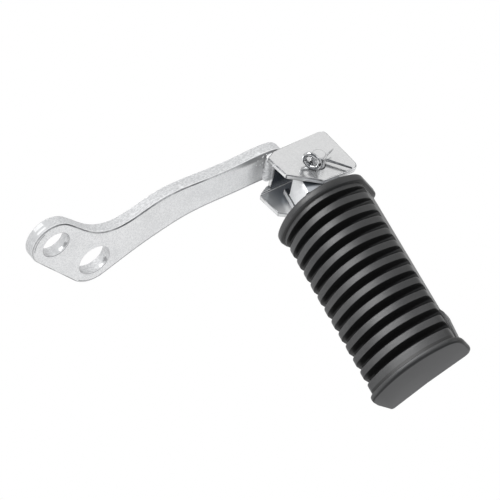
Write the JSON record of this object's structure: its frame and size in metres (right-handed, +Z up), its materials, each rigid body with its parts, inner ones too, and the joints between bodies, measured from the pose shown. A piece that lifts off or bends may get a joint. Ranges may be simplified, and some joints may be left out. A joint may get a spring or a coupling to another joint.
{
  "type": "folding footrest bracket",
  "caption": "Folding footrest on a blanked steel arm: a two-hole plate end bolts to a frame, a folded clevis carries a hinged peg with a ribbed rubber tread.",
  "frame": {"origin": "centre of the smaller mounting hole at the arm's inboard face", "axes": "+Z up, +Y inboard (normal of the mounting face), -Y outboard along the peg, +X along the arm's reach"},
  "size_m": [0.1285, 0.1449, 0.1189],
  "materials": {
    "zinc_plate": "dull zinc plate, finely grained",
    "zinc_sheet": "bright zinc plate",
    "weld_metal": "plated weld",
    "pin_steel": "bright zinc plate",
    "core_steel": "bright zinc plate",
    "tread_rubber": "satin moulded rubber"
  },
  "bodies": {
    "bracket": {"support_arm": "zinc_plate", "hinge_bracket": "zinc_sheet", "weld_bead": "weld_metal", "hinge_pin": "pin_steel", "split_pin": "pin_steel"},
    "peg": {"peg_core": "core_steel", "footrest_rubber": "tread_rubber"}
  },
  "joints": [
    {"name": "peg_fold", "type": "hinge", "parent": "bracket", "child": "peg", "pos_m": [0.09535, -0.0231, -0.08545], "axis": [-0.6494, 0, -0.7604], "range_deg": [0, 38]}
  ]
}
